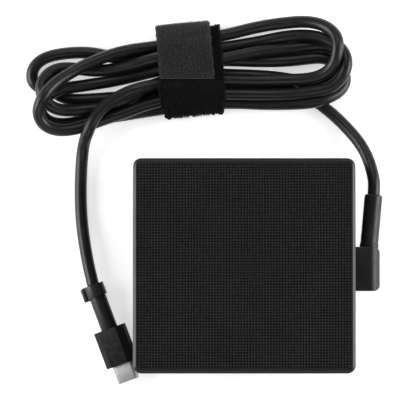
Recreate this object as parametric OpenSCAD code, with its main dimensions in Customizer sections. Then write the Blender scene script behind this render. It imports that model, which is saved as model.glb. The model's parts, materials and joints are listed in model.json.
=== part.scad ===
// USB wall charger: a flat square brick with folding wall blades in its back, a captive
// low-voltage cord wound into a hank under a hook-and-loop strap, a sliding cable clip
// and a USB-C plug. The brick lies on its back: its front face is up, towards +Z.
// The origin is the centre of the brick's rear face. Lengths are in millimetres.

/* [Brick] */
// Width of the brick, along X
brick_w = 80; // [78:0.5:84]
// Length of the brick, along Y
brick_l = 77.4; // [76:0.2:82]
// Height of the brick, along Z
brick_h = 28; // [28:0.5:32]
// Radius of the four upright edges
corner_r = 3; // [2:0.5:5]
// Width of the bevel round the front face
bevel = 1; // [0.6:0.1:1.4]
// How far the rear face is drawn in on each side
draw_in = 3.5; // [2.5:0.1:3.5]
// Wall thickness of both shells
wall = 2; // [1.8:0.1:2]

/* [Wall blades] */
// Distance between the two blades, centre to centre
blade_gap = 12.7; // [12.7:0.1:12.9]
// Thickness of a blade
blade_t = 1.5; // [1.3:0.05:1.6]
// Width of a blade
blade_w = 6.35; // [6.1:0.05:6.4]
// Length of a blade outside the rear face when it is folded out
blade_out = 17; // [15.9:0.1:18]
// Radius of the barrel that carries the blades
rotor_r = 4.6; // [4.4:0.1:4.6]
// Radius of the steel axle
axle_r = 1.25; // [1:0.05:1.4]

/* [Cord] */
// Diameter of the output cord
cord_d = 4.5; // [4:0.1:5]
// Diameter of the strain relief at the brick
relief_d = 6.5; // [6:0.1:7]
// Length of the strain relief at the brick
relief_len = 19.2; // [17:0.1:20]
// Width of the hook-and-loop strap
strap_w = 20.5; // [18:0.5:22]
// Thickness of the strap all round the hank
strap_t = 1.4; // [1:0.1:1.5]

/* [Plug] */
// Width of the plug body
plug_w = 11.8; // [11:0.1:12.4]
// Thickness of the plug body
plug_t = 6.5; // [6:0.1:6.6]
// Length of the plug body
plug_len = 13.8; // [13:0.1:16]
// Diameter of the plug's strain relief
plug_relief_d = 6.16; // [5.8:0.02:6.3]
// Length of the plug's strain relief
plug_relief_len = 17.1; // [16:0.1:20]
// Length of the cable clip
clip_len = 4.6; // [4:0.1:6]

/* [Hidden] */
$fn = 48;
// Overshoot of a cut past the face it opens
cut = 1;

// Heights of the joint between the shells and of the main board
split_z = 12;
board_z = 12.4;
board_t = 1.6;
board_top = board_z + board_t;
board_w = brick_w - 6;
board_l = brick_l - 6;
post_x = brick_w / 2 - 7;
post_y = brick_l / 2 - 7;
lip_h = 1.4;
lip_t = 0.9;

// Folding blades: the axle lies along X
axle_y = 13;
axle_z = 5.2;
rotor_len = 21.6;
side_gap = 0.3;
pocket_w = rotor_len + 2 * side_gap;
pocket_l = 2 * rotor_r + 0.8;
pocket_top = axle_z + rotor_r + side_gap;
pocket_wall = 1.6;
blade_drop = 1.5;
blade_reach = axle_z + blade_out;
tail_reach = rotor_r - 0.1;
slot_w = blade_t + 0.8;
slot_end = axle_y - blade_reach - 0.4;
slot_top = axle_z - blade_drop + blade_w / 2 + 0.4;
well_w = 16;
well_y0 = -16;
well_y1 = -7.2;
well_depth = 5;
bracket_z = 10.3;
bracket_t = 1;
bracket_screw_x = 16.5;

// Components on the board stand up to this height
parts_top = 24.3;
core_z = board_top + 0.3;
core_h = parts_top - core_z;
core_at = [6, -6];
filter_coil_at = [-28, 27.3, board_top + 0.1];

// Gland and strain relief on the right-hand wall
gland_z = 12;
gland_y0 = -9;
gland_len = 16;
gland_out = 9.4;
gland_h = 12;
window_l = 9;
window_h = 7;
relief_tilt = 5.2;
relief_at = [brick_w / 2 + 5.55, gland_y0 + gland_len, gland_z];

// The cord's route from the brick's strain relief to the hank
lead_route = [
    [47.3, 26.1, 12], [47.5, 30.5, 11.6], [46.6, 35.5, 10.2], [45, 40.5, 8.2],
    [42.4, 45.5, 6], [38.4, 50.4, 4], [34.2, 54.8, 2.8], [30, 58.5, 2.3]
];
// The cord's route from the hank to the plug's strain relief
plug_route = [
    [-56.8, 50, 8.4], [-58.2, 46, 6.6], [-59.1, 41.5, 4.6], [-59.6, 35.5, 2.9], [-59.8, 29, 2.3],
    [-59.7, 22, 2.3], [-59.2, 15, 2.3], [-58.1, 7.5, 2.6], [-56.7, 0, 3.5], [-55.1, -6.6, 4.5]
];
cord_sides = 12;

// The strap round the middle of the hank
strap_at = [-20.8, 71.7];
strap_turn = 5.5;
strap_l = 32.8;
strap_h = 12.6;
waist_l = strap_l - 2 * strap_t;
waist_h = strap_h - 2 * strap_t;

// The plug lies rolled on its lower left edge; its own +X runs towards its tip
plug_at = [-49.1, -22.6, 4.5];
plug_turn = -69.4;
plug_roll = 20;
shell_w = 8.34;
shell_t = 2.56;
shell_wall = 0.3;
shell_out = 6.65;
shell_in = 3;
clip_r = 3.75;
clip_bore_r = plug_relief_d / 2 + 0.05;

// ---- shared shapes ----

// Rectangle with round corners
module round_rect(w, l, r) {
    square([w - 2 * r, l], center = true);
    square([w, l - 2 * r], center = true);
    for (x = [-1, 1], y = [-1, 1])
        translate([x * (w / 2 - r), y * (l / 2 - r)]) circle(r);
}

// The brick's outline drawn in by a distance, as a slab from z0 up
module brick_slab(inset, z0, h) {
    translate([0, 0, z0])
        linear_extrude(h)
            round_rect(brick_w - 2 * inset, brick_l - 2 * inset, max(corner_r - inset, 0.8));
}

// Box given by its middle in X and Y and by its foot
module block(at, size) {
    translate([at[0], at[1], at[2] + size[2] / 2]) cube(size, center = true);
}

// Stadium outline, wider than high, in the plug's YZ plane, drawn along its X
module stadium_bar(w, t, x0, x1) {
    translate([x0, 0, 0])
        rotate([90, 0, 90])
            linear_extrude(x1 - x0) {
                square([w - t, t], center = true);
                for (s = [-1, 1]) translate([s * (w - t) / 2, 0]) circle(t / 2);
            }
}

// Cylinder along X
module rod_x(r, x0, x1) {
    translate([x0, 0, 0]) rotate([0, 90, 0]) cylinder(r = r, h = x1 - x0);
}

// Screw with a round head and a cross recess; its head sits on z = 0
module cross_screw(shank_r, shank_len, head_r, head_h) {
    difference() {
        union() {
            translate([0, 0, -shank_len]) cylinder(r = shank_r, h = shank_len + head_h / 2);
            cylinder(r = head_r, h = head_h);
        }
        for (a = [0, 90])
            rotate(a) translate([0, 0, head_h]) cube([head_r * 1.2, head_r * 0.3, head_h], center = true);
    }
}

module at_plug() {
    translate(plug_at) rotate([0, 0, plug_turn]) rotate([plug_roll, 0, 0]) children();
}

module at_axle() {
    translate([0, axle_y, axle_z]) children();
}

// Both blades' middles along X
blade_x = [-blade_gap / 2, blade_gap / 2];

// ---- shells ----

module front_cover() {
    cavity_top = brick_h - wall;
    color([0.13, 0.13, 0.14])
        difference() {
            union() {
                brick_slab(0, split_z, brick_h - bevel - split_z);
                hull() {
                    brick_slab(0, brick_h - bevel - 0.02, 0.02);
                    brick_slab(bevel, brick_h - 0.02, 0.02);
                }
            }
            brick_slab(wall, split_z - cut, cavity_top - split_z + cut);
            brick_slab(wall - lip_t - 0.1, split_z - cut, lip_h + 0.1 + cut);
            block([brick_w / 2, gland_y0 + gland_len / 2, split_z - cut],
                  [4 * wall, window_l, gland_z + window_h / 2 - split_z + cut]);
        }
}

// Form of the rear cover, drawn in towards its foot at z0; inset is its distance from the outer skin
module rear_form(inset, z0) {
    hull() {
        brick_slab(inset, split_z - 0.02, 0.02);
        brick_slab(inset + draw_in * (split_z - 1 - z0) / split_z, z0 + 1, 0.02);
        brick_slab(inset + draw_in * (split_z - z0) / split_z + 0.8, z0, 0.02);
    }
}

// Walls of the blade pocket, of the two blade slots and of the finger well
module pocket_walls() {
    block([0, axle_y, wall / 2], [pocket_w + 2 * 2.4, pocket_l + 2 * pocket_wall, pocket_top - wall / 2]);
    for (x = blade_x)
        translate([x - slot_w / 2 - 1.2, slot_end - 1.2, wall / 2])
            cube([slot_w + 2.4, axle_y - slot_end, slot_top + 1.2 - wall / 2]);
    translate([-well_w / 2 - 1.2, well_y0 - 1.2, wall / 2])
        cube([well_w + 2.4, well_y1 - well_y0 + 2.4, well_depth + 1.2 - wall / 2]);
}

module pocket_voids() {
    block([0, axle_y, -cut], [pocket_w, pocket_l, pocket_top + 2 * cut]);
    for (x = blade_x)
        translate([x - slot_w / 2, slot_end, -cut]) cube([slot_w, axle_y - slot_end, slot_top + cut]);
    translate([-well_w / 2, well_y0, -cut]) cube([well_w, well_y1 - well_y0, well_depth + cut]);
    // Saddles that the axle drops into from above
    for (s = [-1, 1])
        translate([s * (pocket_w / 2 + 1), axle_y, axle_z]) {
            rotate([0, 90, 0]) cylinder(r = axle_r + 0.02, h = 5, center = true);
            translate([-2.5, -axle_r - 0.02, 0]) cube([5, 2 * axle_r + 0.04, pocket_top]);
        }
}

module rear_cover() {
    post_h = board_z - wall / 2;
    color([0.12, 0.12, 0.13])
        difference() {
            union() {
                difference() {
                    rear_form(0, 0);
                    rear_form(wall, wall);
                    translate([0, 0, split_z - 0.02]) cube([brick_w - 9, brick_l - 9, 1], center = true);
                }
                difference() {
                    brick_slab(wall - lip_t, split_z - 0.4, lip_h + 0.4);
                    brick_slab(wall + 0.1, split_z - cut, lip_h + 2 * cut);
                }
                pocket_walls();
                for (s = [-1, 1])
                    block([s * bracket_screw_x, axle_y, wall / 2], [6, 6, bracket_z - wall / 2]);
                for (x = [-post_x, post_x], y = [-post_y, post_y])
                    translate([x, y, wall / 2]) cylinder(r = 2.5, h = post_h);
            }
            pocket_voids();
            for (s = [-1, 1])
                translate([s * bracket_screw_x, axle_y, wall + 1]) cylinder(r = 0.85, h = bracket_z);
            for (x = [-post_x, post_x], y = [-post_y, post_y])
                translate([x, y, wall + 1]) cylinder(r = 0.95, h = post_h);
            block([brick_w / 2, gland_y0 + gland_len / 2, gland_z - window_h / 2],
                  [4 * wall + 2, window_l, window_h]);
            translate([0, -26, -cut]) linear_extrude(cut + 0.3) round_rect(52, 12, 1.5);
        }
}

module rating_label() {
    color([0.35, 0.35, 0.36])
        translate([0, -26, 0.05]) linear_extrude(0.25) round_rect(51.4, 11.4, 1.2);
}

// ---- folding blades ----

module prong_rotor() {
    notch_r = 0.8;
    color([0.1, 0.1, 0.1])
        difference() {
            at_axle() rod_x(rotor_r, -rotor_len / 2, rotor_len / 2);
            at_axle() rod_x(axle_r + 0.05, -rotor_len, rotor_len);
            for (x = blade_x) blade_stock(x, cut);
            // Two grooves that the detent spring drops into, folded in and folded out
            at_axle()
                for (a = [0, 90])
                    rotate([a, 0, 0]) translate([-3.2, rotor_r + 0.2, 0]) rotate([0, 90, 0])
                        cylinder(r = notch_r, h = 6.4, $fn = 24);
        }
}

// Outline of a folded blade: its tip is round and points to -Y
module blade_outline(grow) {
    lo = -blade_drop - blade_w / 2;
    tip_r = 2.2;
    tip_y = -blade_reach;
    translate([tip_y + tip_r, lo]) square([-tip_y - tip_r, blade_w]);
    translate([tip_y, lo + tip_r]) square([2 * tip_r, blade_w - 2 * tip_r]);
    for (z = [lo + tip_r, lo + blade_w - tip_r]) translate([tip_y + tip_r, z]) circle(tip_r);
    // The tail is round, so that it turns within the pocket
    intersection() {
        circle(tail_reach + grow);
        translate([-tip_r, lo]) square([2 * tail_reach, blade_w]);
    }
}

// A blade's full body across X, with its tail left long for cutting when grow is above 0
module blade_stock(x, grow) {
    at_axle()
        translate([x - blade_t / 2, 0, 0]) rotate([90, 0, 90]) linear_extrude(blade_t) blade_outline(grow);
}

module blade(x) {
    hole_r = 1.6;
    color([0.78, 0.76, 0.68])
        difference() {
            blade_stock(x, 0);
            at_axle() rod_x(axle_r + 0.3, -rotor_len, rotor_len);
            translate([0, axle_y - blade_reach + 4, axle_z - blade_drop]) rod_x(hole_r, x - 2, x + 2);
        }
}

module blade_left() {
    blade(blade_x[0]);
}

module blade_right() {
    blade(blade_x[1]);
}

module rotor_axle() {
    half = pocket_w / 2 + 2.2;
    color([0.7, 0.7, 0.72]) at_axle() rod_x(axle_r, -half, half);
}

// Plate that holds the axle down in its saddles
module rotor_bracket() {
    leg_foot = axle_z + axle_r + 0.05;
    color([0.18, 0.18, 0.19])
        difference() {
            union() {
                block([0, axle_y, bracket_z], [2 * bracket_screw_x + 6, 13, bracket_t]);
                for (s = [-1, 1])
                    block([s * (pocket_w / 2 + 1.2), axle_y, leg_foot], [1.8, 2.2, bracket_z - leg_foot + 0.2]);
            }
            for (x = blade_x) block([x, axle_y, bracket_z - cut], [4, 9, bracket_t + 2 * cut]);
            for (s = [-1, 1])
                translate([s * bracket_screw_x, axle_y, bracket_z - cut]) cylinder(r = 1.1, h = bracket_t + 2 * cut);
        }
}

module bracket_screws() {
    color([0.6, 0.6, 0.62])
        for (s = [-1, 1])
            translate([s * bracket_screw_x, axle_y, bracket_z + bracket_t]) cross_screw(0.8, 5, 1.9, 0.9);
}

// Leaf under the bracket; its ridge sits just above the rotor's groove
module detent_spring() {
    ridge_r = 0.35;
    color([0.75, 0.75, 0.78]) {
        difference() {
            union() {
                block([0, axle_y, bracket_z - 0.28], [5, 9, 0.28]);
                translate([-2.5, axle_y, bracket_z - 0.1]) rotate([0, 90, 0])
                    cylinder(r = ridge_r, h = 5, $fn = 24);
            }
            block([0, axle_y, bracket_z], [8, 12, 2]);
        }
    }
}

// Two leaves that the blade tails press on when they are folded out
module contact_springs() {
    leaf_t = 0.35;
    color([0.8, 0.62, 0.35])
        for (x = blade_x) {
            block([x, axle_y, bracket_z - 0.25], [3, 8.6, leaf_t]);
            block([x, axle_y + 4.3 - leaf_t / 2, bracket_z - 0.25], [3, leaf_t, board_z - bracket_z + 0.25]);
            block([x, axle_y + 4.3 - leaf_t / 2, board_z], [1.2, leaf_t, board_t + 0.8]);
        }
}

// ---- boards ----

module main_board() {
    color([0.12, 0.34, 0.2])
        difference() {
            translate([0, 0, board_z]) linear_extrude(board_t) round_rect(board_w, board_l, 1.5);
            for (x = [-post_x, post_x], y = [-post_y, post_y])
                translate([x, y, board_z - cut]) cylinder(r = 1.2, h = board_t + 2 * cut);
            // Notch for the gland and slot between the mains side and the output side
            block([board_w / 2, gland_y0 + gland_len / 2, board_z - cut], [8, 14, board_t + 2 * cut]);
            block([16, 17, board_z - cut], [1.2, 22, board_t + 2 * cut]);
            for (x = blade_x)
                block([x, axle_y + 4.3 - 0.175, board_z - cut], [1.3, 0.45, board_t + 2 * cut]);
        }
}

module board_screws() {
    color([0.6, 0.6, 0.62])
        for (x = [-post_x, post_x], y = [-post_y, post_y])
            translate([x, y, board_top]) cross_screw(0.9, 7, 2.2, 1.6);
}

module pd_board() {
    color([0.1, 0.3, 0.24]) block([30.5, 0, board_top], [1, 26, 9.8]);
}

module pd_controller() {
    color([0.08, 0.08, 0.09]) {
        block([31.45, -6, board_top + 3], [0.9, 5, 5]);
        block([31.4, 6, board_top + 4], [0.8, 3, 3]);
        block([29.4, 2, board_top + 3], [1.2, 6, 5]);
    }
}

// ---- power parts ----

module transformer_core() {
    plate = 1.9;
    color([0.2, 0.2, 0.21])
        translate([core_at[0], core_at[1], core_z]) {
            for (z = [0, core_h - plate]) block([0, 0, z], [26, 16, plate]);
            for (s = [-1, 1]) block([s * 11.75, 0, 0], [2.5, 16, core_h]);
            cylinder(r = 4.5, h = core_h);
        }
}

module transformer_bobbin() {
    flange_lo = 1.95;
    flange_hi = core_h - 2.65;
    color([0.16, 0.15, 0.14])
        translate([core_at[0], core_at[1], core_z])
            difference() {
                union() {
                    translate([0, 0, flange_lo]) cylinder(r = 5.2, h = flange_hi - flange_lo + 0.7);
                    for (z = [flange_lo, flange_hi]) translate([0, 0, z]) cylinder(r = 10, h = 0.7);
                    for (s = [-1, 1])
                        block([0, s * 10.2, -0.2], [19, 3.4, flange_lo + 0.9]);
                }
                cylinder(r = 4.55, h = 3 * core_h, center = true);
            }
}

module transformer_winding() {
    color([0.72, 0.56, 0.18])
        translate([core_at[0], core_at[1], core_z + 2.7])
            difference() {
                cylinder(r = 9.6, h = core_h - 5.4);
                translate([0, 0, -cut]) cylinder(r = 5.25, h = core_h);
            }
}

// Can with the pinched ring near its sealed end, standing on z = 0
module capacitor_can(r, h) {
    rotate_extrude()
        polygon([[0, 0], [r - 0.3, 0], [r, 0.3], [r, 1.2], [r - 0.4, 1.6], [r, 2],
                 [r, h - 0.4], [r - 0.4, h], [0, h]]);
}

module bulk_capacitors() {
    color([0.1, 0.12, 0.2])
        for (x = [-30, -19.4])
            translate([x, -7, board_top + 5.1]) rotate([90, 0, 0]) capacitor_can(5, 21.5);
}

module output_capacitors() {
    color([0.62, 0.63, 0.66])
        for (x = [15, 22.5]) translate([x, -31, board_top + 0.1]) capacitor_can(3.15, 9.5);
}

module x_capacitor() {
    color([0.75, 0.68, 0.3])
        translate([-28.5, 0, board_top + 0.1]) linear_extrude(9.6) round_rect(13, 6, 0.8);
}

module y_capacitor() {
    color([0.16, 0.32, 0.6])
        translate([6, 12, board_top + 4.6]) rotate([90, 0, 0]) cylinder(r = 4, h = 3.2);
}

module choke_core() {
    color([0.24, 0.26, 0.24])
        translate([-27, 14, board_top + 2])
            difference() {
                cylinder(r = 7.2, h = 5.4);
                translate([0, 0, -cut]) cylinder(r = 4, h = 8);
            }
}

module choke_winding() {
    gap = 0.05;
    turn_t = 1.1;
    color([0.74, 0.38, 0.16])
        translate([-27, 14, board_top + 2])
            for (a = [20, 200])
                rotate(a)
                    rotate_extrude(angle = 140)
                        difference() {
                            translate([4 - turn_t - gap, -turn_t - gap])
                                square([3.2 + 2 * (turn_t + gap), 5.4 + 2 * (turn_t + gap)]);
                            translate([4 - gap, -gap]) square([3.2 + 2 * gap, 5.4 + 2 * gap]);
                        }
}

module filter_coil_core() {
    color([0.22, 0.22, 0.23])
        translate(filter_coil_at)
            rotate_extrude()
                polygon([[0, 0], [4.2, 0], [4.2, 1.2], [2, 1.2], [2, 7.4], [4.2, 7.4], [4.2, 8.6], [0, 8.6]]);
}

module filter_coil_winding() {
    color([0.74, 0.4, 0.18])
        translate(filter_coil_at + [0, 0, 1.3])
            difference() {
                cylinder(r = 3.9, h = 6);
                translate([0, 0, -cut]) cylinder(r = 2.05, h = 8);
            }
}

module fuse() {
    color([0.82, 0.8, 0.74])
        translate([-15, 22, board_top + 2.1]) {
            rotate([90, 0, 0]) cylinder(r = 1.7, h = 8.6, center = true);
            for (s = [-1, 1]) translate([0, s * 3.6, 0]) rotate([90, 0, 0]) cylinder(r = 1.95, h = 2, center = true);
        }
}

module varistor() {
    color([0.2, 0.35, 0.55])
        translate([-14, 33, board_top + 4.8]) rotate([90, 0, 0]) cylinder(r = 4.2, h = 3.6);
}

module bridge_rectifier() {
    color([0.09, 0.09, 0.1]) block([2, 28, board_top + 0.8], [15, 3.4, 8.6]);
}

module primary_heat_sink() {
    color([0.66, 0.67, 0.69]) {
        block([-11.6, -21, board_top + 0.1], [1.4, 26, 9.6]);
        block([-9.2, -33.3, board_top + 0.1], [3.4, 1.4, 9.6]);
    }
}

module power_transistor() {
    color([0.08, 0.08, 0.09]) block([-8.6, -24, board_top + 0.6], [4.5, 10, 9]);
}

module secondary_heat_sink() {
    color([0.66, 0.67, 0.69]) block([22.6, -8, board_top + 0.1], [1.4, 24, 9.6]);
}

module sync_rectifier() {
    color([0.08, 0.08, 0.09]) block([25.5, -10, board_top + 0.6], [4.3, 9, 8]);
}

module opto_coupler() {
    color([0.1, 0.1, 0.11]) block([16, 12, board_top + 0.2], [6.4, 4.6, 3.4]);
}

module thermal_pad() {
    color([0.55, 0.6, 0.66]) block([core_at[0], core_at[1], parts_top], [24, 14, 0.5]);
}

module upper_heat_spreader() {
    color([0.7, 0.71, 0.73])
        translate([0, 0, parts_top + 0.5]) linear_extrude(0.6) round_rect(board_w - 4, board_l - 4, 2);
}

module insulation_sheet() {
    color([0.85, 0.82, 0.7, 0.6])
        translate([0, 0, parts_top + 1.15]) linear_extrude(0.25) round_rect(board_w - 2, board_l - 2, 2);
}

module output_wires() {
    color([0.7, 0.12, 0.1])
        for (y = [-2.5, 0.5]) translate([0, y, gland_z + 2.8]) rod_x(0.65, 31, 33.85);
}

// ---- cord ----

// Elbow block on the wall, with a neck through the wall and a flange inside it
module cord_gland() {
    x0 = brick_w / 2;
    y_mid = gland_y0 + gland_len / 2;
    edge_r = 4;
    plan_r = 2.4;
    color([0.11, 0.11, 0.12]) {
        intersection() {
            translate([x0, y_mid, 0]) linear_extrude(3 * gland_h) union() {
                translate([gland_out / 2, 0]) round_rect(gland_out, gland_len, plan_r);
                translate([0, -gland_len / 2]) square([gland_out / 2, gland_len]);
            }
            translate([x0, y_mid, gland_z]) rotate([90, 0, 0]) linear_extrude(2 * gland_len, center = true) {
                translate([0, -gland_h / 2]) square([gland_out - edge_r, gland_h]);
                translate([0, -gland_h / 2 + edge_r]) square([gland_out, gland_h - 2 * edge_r]);
                for (s = [-1, 1]) translate([gland_out - edge_r, s * (gland_h / 2 - edge_r)]) circle(edge_r);
            }
        }
        block([x0 - 2.55, y_mid, gland_z - window_h / 2], [5.1, window_l, window_h]);
        block([x0 - 5.35, y_mid, gland_z - window_h / 2 - 1], [1.5, window_l + 3, window_h + 2]);
    }
}

module cord_strain_relief() {
    r = relief_d / 2;
    tip_r = 0.8;
    color([0.1, 0.1, 0.11])
        translate(relief_at) rotate([0, 0, -relief_tilt]) rotate([-90, 0, 0])
            rotate_extrude() {
                translate([0, -1]) square([r, relief_len + 1 - tip_r]);
                translate([0, 0]) square([r + 0.6, 1.2]);
                square([r - tip_r, relief_len]);
                translate([r - tip_r, relief_len - tip_r]) circle(tip_r);
            }
}

// Round tube swept along a route: one ring at each of its points
function unit(v) = v / norm(v);
function along(p, i) =
    unit(p[min(i + 1, len(p) - 1)] - p[max(i - 1, 0)]);
function ring(p, i, r) =
    let (t = along(p, i), side = unit(cross(t, [0, 0, 1])), up = cross(side, t))
    [for (k = [0:cord_sides - 1])
        let (a = 360 * k / cord_sides)
        p[i] + r * (cos(a) * side + sin(a) * up)];

module cord_tube(route, r) {
    last = (len(route) - 1) * cord_sides;
    rings = [for (i = [0:len(route) - 1]) each ring(route, i, r)];
    walls = [for (i = [0:len(route) - 2], k = [0:cord_sides - 1])
        let (a = i * cord_sides, n = (k + 1) % cord_sides)
        [a + k, a + n, a + cord_sides + n, a + cord_sides + k]];
    caps = [[for (k = [cord_sides - 1:-1:0]) k], [for (k = [0:cord_sides - 1]) last + k]];
    polyhedron(rings, concat(walls, caps));
}

module output_cord() {
    color([0.07, 0.07, 0.07]) cord_tube(lead_route, cord_d / 2);
}

module plug_cord() {
    color([0.07, 0.07, 0.07]) cord_tube(plug_route, cord_d / 2);
}

// Outline of one end of the hank: a hull of round corners, each given as x, y and radius
module lobe(corners) {
    hull()
        for (c = corners) translate([c[0], c[1]]) circle(c[2], $fn = 32);
}

module cord_hank() {
    left_end = [[-66, 67, 14.6], [-62.5, 62.6, 13.6], [-45, 72, 11.5], [-43, 67, 11]];
    right_end = [[22, 76.6, 15.2], [26, 71.6, 14.4], [4.5, 72, 14]];
    color([0.08, 0.08, 0.08]) {
        translate([0, 0, 0.3]) {
            linear_extrude(13.2) lobe(left_end);
            linear_extrude(17) lobe(right_end);
        }
        translate([strap_at[0], strap_at[1], strap_t]) rotate(strap_turn)
            linear_extrude(waist_h) round_rect(strap_w + 8, waist_l, 3);
    }
}

module hook_loop_strap() {
    color([0.17, 0.17, 0.17])
        translate([strap_at[0], strap_at[1], strap_h / 2]) rotate([90, 0, 90 + strap_turn])
            linear_extrude(strap_w, center = true)
                difference() {
                    round_rect(strap_l, strap_h, 3);
                    square([waist_l, waist_h], center = true);
                }
}

// ---- plug ----

module cable_clip() {
    x1 = -plug_relief_len + clip_len;
    color([0.3, 0.3, 0.31])
        at_plug()
            difference() {
                union() {
                    rod_x(clip_r, -plug_relief_len, x1);
                    translate([-plug_relief_len + 0.3, -4.6, -2.5]) cube([clip_len + 0.3, 1.2, 5]);
                    translate([-plug_relief_len, -4, -2]) cube([clip_len, 2, 4]);
                }
                rod_x(clip_bore_r, -plug_relief_len - cut, cut);
            }
}

module plug_strain_relief() {
    r = plug_relief_d / 2;
    color([0.1, 0.1, 0.11])
        at_plug() rod_x(r, -plug_relief_len, 0);
}

module plug_body() {
    flat = 6.9;
    side_h = 3.2;
    color([0.12, 0.12, 0.13])
        at_plug()
            difference() {
                rotate([90, 0, 90]) linear_extrude(plug_len)
                    polygon([[-flat / 2, -plug_t / 2], [flat / 2, -plug_t / 2], [plug_w / 2, -side_h / 2],
                             [plug_w / 2, side_h / 2], [flat / 2, plug_t / 2], [-flat / 2, plug_t / 2],
                             [-plug_w / 2, side_h / 2], [-plug_w / 2, -side_h / 2]]);
                translate([1.5, -4.2, -1.7]) cube([plug_len - 2.5, 8.4, 3.4]);
                stadium_bar(shell_w, shell_t, plug_len - 2, plug_len + cut);
            }
}

module plug_board() {
    color([0.1, 0.3, 0.24]) at_plug() translate([4.4, -3.8, -0.4]) cube([6, 7.6, 0.8]);
}

module cable_crimp() {
    color([0.66, 0.66, 0.68])
        at_plug()
            difference() {
                rod_x(1.65, 1.6, 4.2);
                rod_x(1.25, 0, 5);
            }
}

module usb_shell() {
    inner_w = shell_w - 2 * shell_wall;
    inner_t = shell_t - 2 * shell_wall;
    color([0.78, 0.79, 0.8])
        at_plug()
            difference() {
                stadium_bar(shell_w, shell_t, plug_len - shell_in, plug_len + shell_out);
                stadium_bar(inner_w, inner_t, plug_len - shell_in - cut, plug_len + shell_out + cut);
            }
}

module usb_insert() {
    color([0.07, 0.07, 0.07])
        at_plug()
            difference() {
                stadium_bar(shell_w - 2 * shell_wall, shell_t - 2 * shell_wall,
                            plug_len - shell_in, plug_len + shell_out - 0.3);
                stadium_bar(6.8, 0.95, plug_len - 0.4, plug_len + shell_out + cut);
            }
}

// Twelve contacts above the tongue slot and twelve below it
module usb_contacts() {
    pitch = 0.5;
    color([0.86, 0.7, 0.36])
        at_plug()
            for (i = [0:11], s = [-1, 1])
                translate([plug_len + 0.6, (i - 5.5) * pitch - 0.11, s * 0.4 - 0.075])
                    cube([shell_out - 1.6, 0.22, 0.15]);
}

front_cover();
rear_cover();
rating_label();
prong_rotor();
blade_left();
blade_right();
rotor_axle();
rotor_bracket();
bracket_screws();
detent_spring();
contact_springs();
main_board();
board_screws();
pd_board();
pd_controller();
transformer_core();
transformer_bobbin();
transformer_winding();
bulk_capacitors();
output_capacitors();
x_capacitor();
y_capacitor();
choke_core();
choke_winding();
filter_coil_core();
filter_coil_winding();
fuse();
varistor();
bridge_rectifier();
primary_heat_sink();
power_transistor();
secondary_heat_sink();
sync_rectifier();
opto_coupler();
thermal_pad();
upper_heat_spreader();
insulation_sheet();
output_wires();
cord_gland();
cord_strain_relief();
output_cord();
cord_hank();
hook_loop_strap();
plug_cord();
cable_clip();
plug_strain_relief();
plug_body();
plug_board();
cable_crimp();
usb_shell();
usb_insert();
usb_contacts();
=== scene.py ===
import json
import math
import random

import bmesh
import bpy
import numpy as np
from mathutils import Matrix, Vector


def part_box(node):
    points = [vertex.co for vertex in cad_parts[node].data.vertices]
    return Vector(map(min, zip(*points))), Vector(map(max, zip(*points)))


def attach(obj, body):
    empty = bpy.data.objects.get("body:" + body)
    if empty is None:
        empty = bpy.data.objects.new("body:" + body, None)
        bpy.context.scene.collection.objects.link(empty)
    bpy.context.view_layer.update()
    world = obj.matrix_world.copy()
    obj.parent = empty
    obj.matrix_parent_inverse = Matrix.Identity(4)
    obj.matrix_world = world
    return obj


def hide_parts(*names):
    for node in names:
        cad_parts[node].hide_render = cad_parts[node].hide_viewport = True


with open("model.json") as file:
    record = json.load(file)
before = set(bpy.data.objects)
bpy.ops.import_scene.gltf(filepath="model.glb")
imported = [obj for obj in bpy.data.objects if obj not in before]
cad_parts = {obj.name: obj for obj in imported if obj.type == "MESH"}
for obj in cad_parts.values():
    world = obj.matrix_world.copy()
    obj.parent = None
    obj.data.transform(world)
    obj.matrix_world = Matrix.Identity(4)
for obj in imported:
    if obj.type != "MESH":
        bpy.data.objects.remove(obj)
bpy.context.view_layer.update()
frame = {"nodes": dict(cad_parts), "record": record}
MM = 0.001
NODES = frame["nodes"]
RECORD = frame["record"]
COVER_LO, COVER_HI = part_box("front_cover")
BRICK_TOP = COVER_HI.z
SPLIT = COVER_LO.z

# ---------------------------------------------------------------- camera
# The middle of the view, how steeply it looks down, from how far, and how wide it is there, in metres
VIEW_TARGET = Vector((-0.0123, 0.01998, BRICK_TOP))
VIEW_ELEVATION = math.radians(88)
VIEW_DISTANCE = 1.072
FIELD_WIDTH = 0.1507
SENSOR = 36.0


def make_camera():
    data = bpy.data.cameras.new("camera")
    data.sensor_width = SENSOR
    data.lens = SENSOR * VIEW_DISTANCE / FIELD_WIDTH
    data.clip_start = 0.01
    camera = bpy.data.objects.new("camera", data)
    bpy.context.scene.collection.objects.link(camera)
    away = Vector((0, -math.cos(VIEW_ELEVATION), math.sin(VIEW_ELEVATION)))
    camera.location = VIEW_TARGET + away * VIEW_DISTANCE
    camera.rotation_euler = (-away).to_track_quat("-Z", "Y").to_euler()
    bpy.context.scene.camera = camera


# ---------------------------------------------------------------- helpers
# Edges between faces that meet at more than the first angle are rounded, in this many segments, and
# shading is sharp across edges above the second
ROUND_ABOVE = math.radians(30)
ROUND_SEGMENTS = 3
SHARP_ABOVE = math.radians(40)
# Faces that meet at less than this are one flat face
FLAT_BELOW = math.radians(0.5)
SAME_POINT = 1e-6
TINY = 1e-9
# Steps of a line between two of its way-points, before it is spaced evenly
LINE_STEPS = 12


def link(name, data):
    obj = bpy.data.objects.new(name, data)
    bpy.context.scene.collection.objects.link(obj)
    return obj


def mesh_object(name, verts, faces):
    mesh = bpy.data.meshes.new(name)
    mesh.from_pydata([tuple(v) for v in verts], [], faces)
    mesh.validate()
    mesh.polygons.foreach_set("use_smooth", [True] * len(mesh.polygons))
    return link(name, mesh)


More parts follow.
